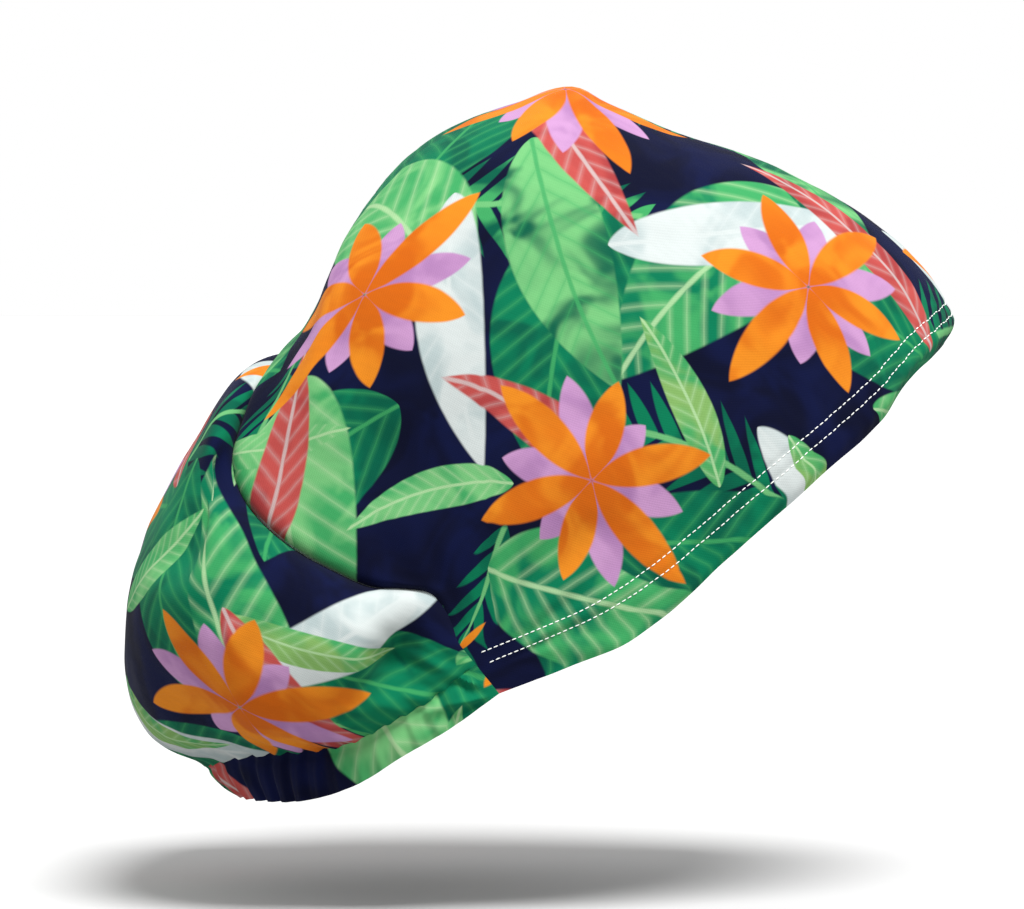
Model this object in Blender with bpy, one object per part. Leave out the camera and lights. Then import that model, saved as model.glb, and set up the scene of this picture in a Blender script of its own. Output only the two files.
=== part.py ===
"""Bouffant scrub cap of printed cotton, in the shape that it has when worn.

Three sewn pieces: a hood over forehead, sides and crown, a gathered bag
behind it, and the casing that holds the elastic round the nape.
+X is the forehead, +Z is up, and the origin is the middle of the head opening.
"""
import math

import bmesh
import bpy
import numpy as np

# Driving sizes, in metres
LENGTH = 0.275
HEIGHT = 0.236
HOOD_WIDTH = 0.162
HOOD_FULLNESS = 0.010
BAG_FULLNESS = 0.022
CLOTH = 0.0012
HEM_CLOTH = 0.0020
HEM_DEPTH = 0.0155
EAR_SEAM = 0.0210
CASING_DEPTH = 0.0150
CASING_CLOTH = 0.0026
SEAM_GAP = 0.0003
SEAM_DIP = 0.0022
SEAM_SPREAD = 0.009
PLEAT_DEPTH = 0.0085
GATHER_DEPTH = 0.0013

# How finely the cloth is divided
COLUMNS = 60
HOOD_ROWS = 19
BAG_ROWS = 18
CASING_ROWS = 4

# Roundness of the arches that span the head from ear to ear
ARCH_WIDTH_POWER = 0.76
ARCH_RISE_POWER = 0.90
GATHERS_PER_SIDE = 7
FINE = 160

# Middle line of the hood from the forehead hem over the crown to the rear
# seam: along as a share of LENGTH, up as a share of HEIGHT
HOOD_RIDGE = (
    # along, up
    (0.435, 0.320),
    (0.446, 0.350),
    (0.436, 0.374),
    (0.409, 0.422),
    (0.343, 0.495),
    (0.231, 0.566),
    (0.080, 0.627),
    (0.024, 0.657),
    (-0.009, 0.676),
    (-0.080, 0.655),
    (-0.187, 0.603),
    (-0.252, 0.528),
    (-0.279, 0.444),
    (-0.308, 0.374),
    (-0.348, 0.322),
)

# Hem edge of the hood in side view, from the forehead to the ear
HOOD_HEM = (
    # along, up
    (0.435, 0.320),
    (0.374, 0.262),
    (0.345, 0.216),
    (0.280, 0.152),
    (0.215, 0.085),
    (0.151, 0.019),
    (0.091, -0.045),
    (0.047, -0.080),
    (-0.023, -0.114),
    (-0.102, -0.149),
)

# Rear seam of the hood in side view, from the crown to the top of the ear seam
REAR_SEAM = (
    # along, up
    (-0.348, 0.322),
    (-0.383, 0.272),
    (-0.403, 0.208),
    (-0.409, 0.165),
    (-0.397, 0.120),
    (-0.369, 0.080),
    (-0.332, 0.047),
    (-0.290, 0.021),
    (-0.247, 0.000),
    (-0.212, -0.003),
    (-0.180, -0.012),
    (-0.162, -0.038),
)
EAR_SEAM_LEAN = 129.0

# Middle line of the bag, from the rear seam to just above the casing
BAG_RIDGE = (
    # along, up
    (-0.348, 0.322),
    (-0.406, 0.282),
    (-0.449, 0.212),
    (-0.486, 0.141),
    (-0.520, 0.071),
    (-0.542, 0.000),
    (-0.554, -0.090),
    (-0.546, -0.176),
    (-0.522, -0.232),
)

# Nape edge of the casing, from the back middle to the ear, with the way the
# casing stands on it: lean in degrees from forwards, depth as a share of
# CASING_DEPTH
NAPE_EDGE = (
    # along, up, lean, depth
    (-0.420, -0.312, 140.0, 0.90),
    (-0.384, -0.310, 110.0, 1.00),
    (-0.335, -0.304, 95.0, 1.05),
    (-0.275, -0.280, 98.0, 0.90),
    (-0.213, -0.235, 110.0, 0.75),
    (-0.155, -0.194, 122.0, 0.75),
    (-0.102, -0.149, 129.0, 0.80),
)

# Folds of the cloth, drawn as lines in side view. side is -1 for the right,
# 1 for the left and 0 for both; reach is a share of LENGTH, depth a share of
# PLEAT_DEPTH, and lip raises the cloth beside the fold on the back side
FOLDS = (
    # piece, side, along 1, up 1, along 2, up 2, reach, depth, lip
    ("bag", -1, -0.415, 0.180, -0.490, 0.010, 0.024, 0.95, 0.30),
    ("bag", 1, -0.420, 0.140, -0.480, -0.010, 0.026, 0.80, 0.25),
    ("bag", 0, -0.190, -0.060, -0.230, -0.150, 0.040, 1.10, 0.20),
    ("bag", 0, -0.330, -0.010, -0.400, -0.120, 0.030, 0.30, 0.10),
    ("hood", 0, -0.330, 0.250, -0.180, 0.080, 0.070, 0.35, 0.00),
    ("hood", 0, -0.020, 0.560, 0.060, 0.300, 0.060, -0.20, 0.00),
    ("hood", 0, -0.120, -0.020, 0.100, 0.090, 0.035, 0.16, 0.00),
)


def trace(rows, shares):
    """Points at shares of the length of a smooth curve through the rows."""
    knots_at = np.array(rows, float)
    steps = np.linalg.norm(np.diff(knots_at[:, :2], axis=0), axis=1)
    knots = np.concatenate(([0.0], np.cumsum(steps)))
    slopes = np.gradient(knots_at, knots, axis=0)
    fine = np.linspace(0.0, knots[-1], FINE)
    span = np.clip(np.searchsorted(knots, fine, side="right") - 1, 0, len(steps) - 1)
    width = steps[span][:, None]
    t = (fine[:, None] - knots[span][:, None]) / width
    start, end = knots_at[span], knots_at[span + 1]
    curve = (
        start * (1 + 2 * t) * (1 - t) ** 2
        + end * t * t * (3 - 2 * t)
        + slopes[span] * width * t * (1 - t) ** 2
        - slopes[span + 1] * width * t * t * (1 - t)
    )
    run = np.concatenate(([0.0], np.cumsum(np.linalg.norm(np.diff(curve[:, :2], axis=0), axis=1))))
    wanted = np.asarray(shares) * run[-1]
    return np.stack([np.interp(wanted, run, column) for column in curve.T], axis=-1)


def to_metres(points):
    """Turn shares of LENGTH and HEIGHT into side-view metres."""
    return np.asarray(points)[..., :2] * np.array([LENGTH, HEIGHT])


def smooth_step(low, high, value):
    """0 below low, 1 above high, and a soft rise between them."""
    t = np.clip((value - low) / (high - low), 0.0, 1.0)
    return t * t * (3 - 2 * t)


def lean(degrees):
    """Side-view direction at an angle from forwards."""
    turn = np.radians(degrees)
    return np.stack([np.cos(turn), np.sin(turn)], axis=-1)


# Angles across the head, from the right ear to the left
ACROSS = np.linspace(-1.0, 1.0, COLUMNS + 1)
TURN = np.abs(ACROSS) * math.pi / 2
DROP = 1.0 - np.clip(np.cos(TURN), 0.0, 1.0) ** ARCH_RISE_POWER
SPREAD = np.sign(ACROSS) * np.sin(TURN) ** ARCH_WIDTH_POWER
FULL = np.sign(ACROSS) * np.sin(2 * TURN)

EAR = to_metres(HOOD_HEM[-1])
MIDDLE = COLUMNS // 2
SEAM_TOP = EAR + EAR_SEAM * lean(EAR_SEAM_LEAN)


def rear_seam():
    """Side-view points of the rear seam, down to the top of the ear seam."""
    top = tuple(SEAM_TOP / np.array([LENGTH, HEIGHT]))
    return to_metres(trace(REAR_SEAM + (top,), DROP))


def nape_edge():
    """Side-view points of the nape edge."""
    return to_metres(trace(NAPE_EDGE, DROP))


def casing_top():
    """Side-view points of the line where the bag meets the casing."""
    rows = trace(NAPE_EDGE, DROP)
    return to_metres(rows) + lean(rows[:, 2]) * (CASING_DEPTH * rows[:, 3])[:, None]


def skin(first, last, ridge, full, full_size):
    """Grid of points between two edge curves, arched over the middle line.

    first and last are side-view edges, one point for each column; ridge is
    the side-view middle line, one point for each row.
    """
    down = np.linspace(0.0, 1.0, len(ridge))
    flat = (1 - down)[None, :, None] * first[:, None] + down[None, :, None] * last[:, None]
    rise = ridge - flat[MIDDLE]
    side = flat + (1 - DROP)[:, None, None] * rise[None]
    across = SPREAD[:, None] * HOOD_WIDTH / 2
    across = across + FULL[:, None] * full_size * full(down)[None, :]
    return np.stack([side[..., 0], across, side[..., 1]], axis=-1)


def directions(grid):
    """Outward directions of a grid of points; level with Y at both ear seams."""
    out = np.cross(np.gradient(grid, axis=0), np.gradient(grid, axis=1))
    out /= np.maximum(np.linalg.norm(out, axis=-1, keepdims=True), 1e-12)
    out[0] = (0.0, -1.0, 0.0)
    out[-1] = (0.0, 1.0, 0.0)
    return out


def share_direction(upper, lower):
    """Give the last row of one piece and the first of the next one direction."""
    both = upper[:, -1] + lower[:, 0]
    both /= np.linalg.norm(both, axis=-1, keepdims=True)
    upper[:, -1] = both
    lower[:, 0] = both


def distance_down(grid):
    """Distance along each column of the grid from its first row."""
    steps = np.linalg.norm(np.diff(grid, axis=1), axis=-1)
    return np.concatenate([np.zeros((len(grid), 1)), np.cumsum(steps, axis=1)], axis=1)


def space_rows(grid, marks, rows):
    """Put the rows of each column at the marks, then evenly to its last row."""
    run = distance_down(grid)
    spaced = np.empty((len(grid), rows + 1, 3))
    for column, points in enumerate(grid):
        total = run[column, -1]
        rest = np.linspace(marks[-1], total, rows + 1 - len(marks))[1:]
        wanted = np.concatenate(([0.0], marks, rest))
        for axis in range(3):
            spaced[column, :, axis] = np.interp(wanted, run[column], points[:, axis])
    return spaced


def fold_height(grid, piece):
    """How far the folds of a piece lift each point of its grid."""
    height = np.zeros(grid.shape[:2])
    for name, side, along_1, up_1, along_2, up_2, reach, depth, lip in FOLDS:
        if name != piece:
            continue
        start = to_metres((along_1, up_1))
        line = to_metres((along_2, up_2)) - start
        size = np.linalg.norm(line)
        line = line / size
        wide = reach * LENGTH
        offset = grid[..., [0, 2]] - start
        run = offset @ line
        beside = offset @ np.array([line[1], -line[0]]) / wide
        ends = smooth_step(-wide, wide, run) * smooth_step(-wide, wide, size - run)
        shape = lip * np.exp(-((beside - 1.7) ** 2)) - np.exp(-(beside ** 2))
        toward = np.abs(SPREAD) if side == 0 else SPREAD * side
        height += PLEAT_DEPTH * depth * shape * ends * smooth_step(0.1, 0.4, toward)[:, None]
    return height


def calm(grid, first, last):
    """0 at the ear seams and at a first or last row that is a seam, 1 inside."""
    run = distance_down(grid)
    inside = smooth_step(0.0, 0.10, 1 - np.abs(ACROSS))[:, None] * np.ones_like(run)
    if first:
        inside *= smooth_step(0.0, SEAM_SPREAD, run)
    if last:
        inside *= smooth_step(0.0, SEAM_SPREAD, run[:, -1:] - run)
    return inside


def near(distance):
    """1 on a seam and 0 well away from it."""
    return np.exp(-((distance / SEAM_SPREAD) ** 2))


def outer_skins():
    """Outer skins of hood, bag and casing, with their folds and gathers."""
    seam, top, edge = rear_seam(), casing_top(), nape_edge()
    hem = to_metres(trace(HOOD_HEM, DROP))
    hood = skin(
        hem,
        seam,
        to_metres(trace(HOOD_RIDGE, np.linspace(0.0, 1.0, FINE))),
        lambda down: np.sin(math.pi * down),
        HOOD_FULLNESS,
    )
    hood = space_rows(hood, np.array([0.45, 0.93, 1.06]) * HEM_DEPTH, HOOD_ROWS)

    end = tuple(top[MIDDLE] / np.array([LENGTH, HEIGHT]))
    bag = skin(
        seam,
        top,
        to_metres(trace(BAG_RIDGE + (end,), np.linspace(0.0, 1.0, BAG_ROWS + 1))),
        lambda down: np.sin(math.pi * down) ** 0.7,
        BAG_FULLNESS,
    )
    down = np.linspace(0.0, 1.0, CASING_ROWS + 1)
    ridge = (1 - down)[:, None] * top[MIDDLE] + down[:, None] * edge[MIDDLE]
    casing = skin(top, edge, ridge, np.zeros_like, 0.0)

    ways = [directions(grid) for grid in (hood, bag, casing)]
    share_direction(ways[0], ways[1])
    share_direction(ways[1], ways[2])

    ends = smooth_step(0.0, 0.12, 1 - np.abs(ACROSS))[:, None]
    wave = np.cos(2 * math.pi * GATHERS_PER_SIDE * ACROSS)[:, None] * ends * GATHER_DEPTH
    hood_run, bag_run = distance_down(hood), distance_down(bag)
    hood_lift = fold_height(hood, "hood") * calm(hood, False, True)
    hood_lift -= SEAM_DIP * ends * near(hood_run[:, -1:] - hood_run)
    bag_lift = fold_height(bag, "bag") * calm(bag, True, True)
    bag_lift -= SEAM_DIP * ends * near(bag_run)
    bag_lift += wave * np.exp(-((bag_run[:, -1:] - bag_run) / CASING_DEPTH) ** 2)
    lifts = (hood_lift, bag_lift, wave * np.ones(casing.shape[:2]))
    return [grid + way * lift[..., None] for grid, way, lift in zip((hood, bag, casing), ways, lifts)]


def pull_back(grid, rows):
    """Draw the seam edges of a skin back by half the seam gap."""
    trimmed = grid.copy()
    edges = [((0,), (1,)), ((-1,), (-2,))]
    if "first" in rows:
        edges.append(((slice(None), 0), (slice(None), 1)))
    if "last" in rows:
        edges.append(((slice(None), -1), (slice(None), -2)))
    for here, inward in edges:
        step = trimmed[inward] - trimmed[here]
        step /= np.linalg.norm(step, axis=-1, keepdims=True)
        trimmed[here] = trimmed[here] + step * SEAM_GAP / 2
    return trimmed


def solid(name, outer, way, thickness, colour):
    """Closed body of cloth between an outer skin and the skin inside it."""
    inner = outer - way * thickness[..., None]
    columns, rows = outer.shape[:2]
    mesh = bpy.data.meshes.new(name)
    body = bmesh.new()
    layers = [
        [[body.verts.new(point) for point in column] for column in layer]
        for layer in (outer, inner)
    ]
    front, back = layers
    for i in range(columns - 1):
        for j in range(rows - 1):
            body.faces.new((front[i][j], front[i][j + 1], front[i + 1][j + 1], front[i + 1][j]))
            body.faces.new((back[i][j], back[i + 1][j], back[i + 1][j + 1], back[i][j + 1]))
        for j in (0, rows - 1):
            rim = (front[i][j], front[i + 1][j], back[i + 1][j], back[i][j])
            body.faces.new(rim)
    for j in range(rows - 1):
        for i in (0, columns - 1):
            rim = (front[i][j], front[i][j + 1], back[i][j + 1], back[i][j])
            body.faces.new(rim)
    bmesh.ops.recalc_face_normals(body, faces=body.faces)
    body.to_mesh(mesh)
    body.free()
    piece = bpy.data.objects.new(name, mesh)
    bpy.context.collection.objects.link(piece)
    mesh.shade_smooth()
    mesh.set_sharp_from_angle(angle=math.radians(50))

    cloth = bpy.data.materials.new(name + "_cotton")
    cloth.use_nodes = True
    shader = cloth.node_tree.nodes["Principled BSDF"]
    shader.inputs["Base Color"].default_value = colour
    shader.inputs["Roughness"].default_value = 0.85
    shader.inputs["Metallic"].default_value = 0.0
    mesh.materials.append(cloth)
    return piece


def main():
    for old in list(bpy.data.objects):
        bpy.data.objects.remove(old, do_unlink=True)

    hood, bag, casing = outer_skins()
    ways = [directions(grid) for grid in (hood, bag, casing)]
    share_direction(ways[0], ways[1])
    share_direction(ways[1], ways[2])
    hem = 1 - smooth_step(0.93 * HEM_DEPTH, 1.06 * HEM_DEPTH, distance_down(hood))
    walls = (
        CLOTH + (HEM_CLOTH - CLOTH) * hem,
        np.full(bag.shape[:2], CLOTH),
        np.full(casing.shape[:2], CASING_CLOTH),
    )
    solid("front_panel", pull_back(hood, ("last",)), ways[0], walls[0], (0.05, 0.30, 0.16, 1.0))
    solid("back_bag", pull_back(bag, ("first", "last")), ways[1], walls[1], (0.03, 0.05, 0.14, 1.0))
    solid("nape_casing", pull_back(casing, ("first",)), ways[2], walls[2], (0.85, 0.32, 0.05, 1.0))


main()
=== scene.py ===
"""Printed cotton scrub cap as it is worn: hood, gathered bag, casing and topstitching."""

import logging
import math
from dataclasses import dataclass, field
from enum import Enum
from typing import ClassVar

import bpy
import numpy as np
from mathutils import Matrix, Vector, noise


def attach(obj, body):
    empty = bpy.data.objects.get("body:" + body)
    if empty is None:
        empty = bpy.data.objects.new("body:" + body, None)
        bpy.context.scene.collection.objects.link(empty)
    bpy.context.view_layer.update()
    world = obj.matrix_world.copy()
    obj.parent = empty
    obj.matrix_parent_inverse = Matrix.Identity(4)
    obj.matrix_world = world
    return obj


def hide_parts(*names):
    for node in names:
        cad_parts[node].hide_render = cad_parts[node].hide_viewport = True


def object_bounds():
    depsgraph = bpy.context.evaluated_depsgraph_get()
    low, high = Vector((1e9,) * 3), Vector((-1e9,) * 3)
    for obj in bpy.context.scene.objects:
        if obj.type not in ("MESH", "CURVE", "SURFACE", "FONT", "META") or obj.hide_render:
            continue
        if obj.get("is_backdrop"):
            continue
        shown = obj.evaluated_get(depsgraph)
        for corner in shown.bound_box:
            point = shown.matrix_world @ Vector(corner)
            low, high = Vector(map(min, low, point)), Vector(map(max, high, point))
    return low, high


LOG = logging.getLogger("scrub_cap")
Rows = tuple[tuple[float, ...], ...]
Pair = tuple[float, float]
Socket = bpy.types.NodeSocket
Tree = bpy.types.NodeTree
Piece = bpy.types.Object
Material = bpy.types.Material
Finish = tuple[Material, Material]

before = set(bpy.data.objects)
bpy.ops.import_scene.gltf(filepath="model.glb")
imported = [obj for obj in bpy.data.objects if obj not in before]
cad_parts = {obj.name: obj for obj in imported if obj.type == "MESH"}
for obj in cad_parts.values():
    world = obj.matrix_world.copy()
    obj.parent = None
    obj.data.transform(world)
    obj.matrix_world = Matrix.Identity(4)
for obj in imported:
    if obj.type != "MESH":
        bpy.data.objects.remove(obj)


def smooth_step(low: float, high: float, value: np.ndarray) -> np.ndarray:
    """Rise softly from 0 at low to 1 at high.

    Args:
        low: value at which the rise starts.
        high: value at which it ends.
        value: where to read it.

    Returns:
        The height of the rise at each value.
    """
    t = np.clip((value - low) / (high - low), 0.0, 1.0)
    return t * t * (3 - 2 * t)


def bell(distance: np.ndarray) -> np.ndarray:
    """Return a soft bump that is 1 at distance 0 and fades by 2."""
    return np.exp(-(distance ** 2))


def lean(degrees: np.ndarray) -> np.ndarray:
    """Return the side-view direction at an angle from forwards."""
    turn = np.radians(degrees)
    return np.stack([np.cos(turn), np.sin(turn)], axis=-1)


def trace(rows: Rows, shares: np.ndarray, fine: int = 600) -> np.ndarray:
    """Read a smooth curve through the rows of a table.

    Args:
        rows: table whose first two columns are the side-view place.
        shares: shares of the curve's length at which to read it.
        fine: points of the curve that lie between its ends.

    Returns:
        One row of all the table's columns for each share.
    """
    points = np.array(rows, float)
    steps = np.linalg.norm(np.diff(points[:, :2], axis=0), axis=1)
    knots = np.concatenate(([0.0], np.cumsum(steps)))
    slopes = np.gradient(points, knots, axis=0)
    run = np.linspace(0.0, knots[-1], fine)
    span = np.clip(np.searchsorted(knots, run, side="right") - 1, 0, len(steps) - 1)
    width = steps[span][:, None]
    t = (run[:, None] - knots[span][:, None]) / width
    curve = (
        points[span] * (1 + 2 * t) * (1 - t) ** 2
        + points[span + 1] * t * t * (3 - 2 * t)
        + slopes[span] * width * t * (1 - t) ** 2
        - slopes[span + 1] * width * t * t * (1 - t)
    )
    pace = np.linalg.norm(np.diff(curve[:, :2], axis=0), axis=1)
    done = np.concatenate(([0.0], np.cumsum(pace)))
    return read_at(np.asarray(shares) * done[-1], done, curve)


def read_at(where: float, run: np.ndarray, points: np.ndarray) -> np.ndarray:
    """Return the point at a distance along a line, or one for each of several."""
    return np.stack([np.interp(where, run, column) for column in points.T], axis=-1)


def run_down(grid: np.ndarray) -> np.ndarray:
    """Return the distance along each column of a grid from its first row."""
    steps = np.linalg.norm(np.diff(grid, axis=1), axis=-1)
    return np.concatenate([np.zeros((len(grid), 1)), np.cumsum(steps, axis=1)], axis=1)


def outward(grid: np.ndarray) -> np.ndarray:
    """Return the outward direction at each point of a grid, level at the ears."""
    out = np.cross(np.gradient(grid, axis=0), np.gradient(grid, axis=1))
    out /= np.maximum(np.linalg.norm(out, axis=-1, keepdims=True), 1e-12)
    out[0] = (0.0, -1.0, 0.0)
    out[-1] = (0.0, 1.0, 0.0)
    return out


def turn_to(way: np.ndarray, shared: np.ndarray, share: np.ndarray) -> np.ndarray:
    """Turn the directions of a grid towards those that an edge shares with its neighbour.

    Args:
        way: direction at each point.
        shared: direction at the edge, one for each column.
        share: 1 at the edge, and 0 where the grid keeps its own direction.

    Returns:
        The new directions.
    """
    mixed = way * (1 - share)[..., None] + shared[:, None] * share[..., None]
    return mixed / np.linalg.norm(mixed, axis=-1, keepdims=True)


def ease(grid: np.ndarray, rounds: int) -> np.ndarray:
    """Soften the sharpest creases of a grid; its edges stay where they are.

    Args:
        grid: points of the piece, by column and row.
        rounds: how often each point is moved towards its neighbours.

    Returns:
        The softened points.
    """
    soft = grid.copy()
    for _ in range(rounds):
        beside = soft[2:, 1:-1] + soft[:-2, 1:-1] + soft[1:-1, 2:] + soft[1:-1, :-2]
        soft[1:-1, 1:-1] = 0.5 * soft[1:-1, 1:-1] + 0.125 * beside
    return soft


@dataclass(frozen=True)
class Ripple:
    """Smooth uneven waves of the cloth.

    The height and the size of the waves are in metres, the seed gives each use
    its own waves, and the stretch draws them out along each axis.
    """

    height: float
    size: float
    seed: float
    stretch: tuple[float, float, float] = (1.0, 1.0, 1.0)

    def read(self, points: np.ndarray) -> np.ndarray:
        """Return the waves on a grid of points, as values of about -1 to 1."""
        flat = (points / (np.array(self.stretch) * self.size)).reshape(-1, 3) + self.seed
        values = [noise.noise(Vector(point)) for point in flat]
        return np.array(values).reshape(points.shape[:2])


@dataclass
class CapForm:
    """Sizes and curves of the worn cap, shared by its three pieces of cloth."""

    length: float = 0.275
    height: float = 0.236
    width: float = 0.162
    hood_fullness: float = 0.010
    bag_fullness: float = 0.022
    ear_seam: float = 0.0210
    ear_seam_lean: float = 129.0
    casing_depth: float = 0.0150
    width_power: float = 0.76
    rise_power: float = 0.90
    columns: int = 360
    gathers: int = 17
    # Curves in side view, along as a share of length and up as a share of height
    hood_ridge: Rows = (
        (0.435, 0.320),
        (0.446, 0.350),
        (0.436, 0.374),
        (0.409, 0.422),
        (0.343, 0.495),
        (0.231, 0.566),
        (0.080, 0.627),
        (0.024, 0.657),
        (-0.009, 0.676),
        (-0.080, 0.655),
        (-0.187, 0.603),
        (-0.252, 0.528),
        (-0.279, 0.444),
        (-0.308, 0.374),
        (-0.348, 0.322),
    )
    hood_hem: Rows = (
        (0.435, 0.320),
        (0.374, 0.262),
        (0.345, 0.216),
        (0.280, 0.152),
        (0.215, 0.085),
        (0.151, 0.019),
        (0.091, -0.045),
        (0.047, -0.080),
        (-0.023, -0.114),
        (-0.102, -0.149),
    )
    rear_seam: Rows = (
        (-0.348, 0.322),
        (-0.383, 0.272),
        (-0.403, 0.208),
        (-0.409, 0.165),
        (-0.397, 0.120),
        (-0.369, 0.080),
        (-0.332, 0.047),
        (-0.290, 0.021),
        (-0.247, 0.000),
        (-0.212, -0.003),
        (-0.180, -0.012),
        (-0.162, -0.038),
    )
    bag_ridge: Rows = (
        (-0.348, 0.322),
        (-0.406, 0.282),
        (-0.449, 0.212),
        (-0.486, 0.141),
        (-0.520, 0.071),
        (-0.542, 0.000),
        (-0.554, -0.090),
        (-0.546, -0.176),
        (-0.522, -0.232),
    )
    # along, up, lean of the casing in degrees, share of the casing's depth
    nape_edge: Rows = (
        (-0.420, -0.312, 140.0, 0.90),
        (-0.384, -0.310, 110.0, 1.00),
        (-0.335, -0.304, 95.0, 1.05),
        (-0.275, -0.280, 98.0, 0.90),
        (-0.213, -0.235, 110.0, 0.75),
        (-0.155, -0.194, 122.0, 0.75),
        (-0.102, -0.149, 129.0, 0.80),
    )

    def __post_init__(self) -> None:
        """Work out the arches across the head."""
        self.across = np.linspace(-1.0, 1.0, self.columns + 1)
        turn = np.abs(self.across) * math.pi / 2
        self.drop = 1.0 - np.clip(np.cos(turn), 0.0, 1.0) ** self.rise_power
        self.spread = np.sign(self.across) * np.sin(turn) ** self.width_power
        self.full = np.sign(self.across) * np.sin(2 * turn)
        self.ends = smooth_step(0.0, 0.12, 1 - np.abs(self.across))[:, None]
        self.tips = smooth_step(0.0, 0.05, 1 - np.abs(self.across))[:, None]

    def metres(self, points: np.ndarray) -> np.ndarray:
        """Turn shares of length and height into metres."""
        return np.asarray(points)[..., :2] * np.array([self.length, self.height])

    def shares(self, point: np.ndarray) -> Pair:
        """Turn side-view metres into shares of length and height."""
        return (float(point[0] / self.length), float(point[1] / self.height))

    def seam_line(self) -> np.ndarray:
        """Return the rear seam in side view, down to the top of the ear seam."""
        ear = self.metres(self.hood_hem[-1])
        top = ear + self.ear_seam * lean(self.ear_seam_lean)
        return self.metres(trace(self.rear_seam + (self.shares(top),), self.drop))

    def casing_lines(self) -> tuple[np.ndarray, np.ndarray]:
        """Return the casing's top line and the nape edge in side view."""
        rows = trace(self.nape_edge, self.drop)
        edge = self.metres(rows)
        top = edge + lean(rows[:, 2]) * (self.casing_depth * rows[:, 3])[:, None]
        return top, edge

    def gather_wave(self) -> np.ndarray:
        """Return the uneven ripples that the elastic puts in the cloth."""
        across = self.across
        phase = 2 * math.pi * self.gathers * across + 1.1 * np.sin(7.0 * across)
        phase = phase + 0.6 * np.sin(17.0 * across + 1.0)
        wave = np.cos(phase) + 0.35 * np.cos(2.1 * phase + 0.7)
        return (wave * (0.8 + 0.2 * np.sin(11.0 * across)))[:, None] * self.tips

    def skin(self, first: np.ndarray, last: np.ndarray, ridge: np.ndarray, full: np.ndarray) -> np.ndarray:
        """Arch a grid of points over the middle line, between two edges.

        Args:
            first: side-view edge that the rows start from.
            last: side-view edge that they end on.
            ridge: side-view middle line, one point for each row.
            full: how far each row swells out to the sides, in metres.

        Returns:
            Grid of points, by column and row.
        """
        down = np.linspace(0.0, 1.0, len(ridge))
        flat = (1 - down)[None, :, None] * first[:, None] + down[None, :, None] * last[:, None]
        rise = ridge - flat[self.columns // 2]
        side = flat + (1 - self.drop)[:, None, None] * rise[None]
        wide = self.spread[:, None] * self.width / 2 + self.full[:, None] * full[None, :]
        return np.stack([side[..., 0], wide, side[..., 1]], axis=-1)

    def seam_way(self) -> np.ndarray:
        """Return the outward direction along the rear seam, shared by hood and bag."""
        both = outward(self.hood(200))[:, -1] + outward(self.bag(100))[:, 0]
        return both / np.linalg.norm(both, axis=-1, keepdims=True)

    def casing_way(self) -> np.ndarray:
        """Return the outward direction where the bag meets the casing, shared by both."""
        both = outward(self.bag(100))[:, -1] + outward(self.casing(20))[:, 0]
        return both / np.linalg.norm(both, axis=-1, keepdims=True)

    def hood(self, rows: int) -> np.ndarray:
        """Return the plain skin of the hood, from its hem to the rear seam."""
        down = np.linspace(0.0, 1.0, rows + 1)
        hem = self.metres(trace(self.hood_hem, self.drop))
        full = self.hood_fullness * np.sin(math.pi * down)
        return self.skin(hem, self.seam_line(), self.metres(trace(self.hood_ridge, down)), full)

    def bag(self, rows: int) -> np.ndarray:
        """Return the plain skin of the bag, from the rear seam to the casing."""
        down = np.linspace(0.0, 1.0, rows + 1)
        top, _ = self.casing_lines()
        end = self.shares(top[self.columns // 2])
        full = self.bag_fullness * np.clip(np.sin(math.pi * down), 0.0, 1.0) ** 0.7
        return self.skin(self.seam_line(), top, self.metres(trace(self.bag_ridge + (end,), down)), full)

    def casing(self, rows: int) -> np.ndarray:
        """Return the plain skin of the casing, from the bag to the nape edge."""
        top, edge = self.casing_lines()
        down = np.linspace(0.0, 1.0, rows + 1)[:, None]
        middle = self.columns // 2
        ridge = (1 - down) * top[middle] + down * edge[middle]
        return self.skin(top, edge, ridge, np.zeros(rows + 1))


@dataclass(frozen=True)
class Fold:
    """A fold of the cloth, drawn as a line in side view."""

    side: int
    start: Pair
    end: Pair
    reach: float
    depth: float
    lip: float = 0.0

    def lift(self, grid: np.ndarray, form: CapForm) -> np.ndarray:
        """Return how far the fold lifts each point of a grid, in metres."""
        start = form.metres(np.array(self.start))
        line = form.metres(np.array(self.end)) - start
        size = np.linalg.norm(line)
        line = line / size
        offset = grid[..., [0, 2]] - start
        run = offset @ line
        beside = offset @ np.array([line[1], -line[0]]) / self.reach
        fade = 1.0
        for inside in (run, size - run):
            fade = fade * smooth_step(-self.reach, 1.5 * self.reach, inside)
        shape = self.lip * bell(beside - 1.7) - bell(beside)
        toward = np.abs(form.spread) if self.side == 0 else form.spread * self.side
        return self.depth * shape * fade * smooth_step(0.1, 0.4, toward)[:, None]


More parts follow.
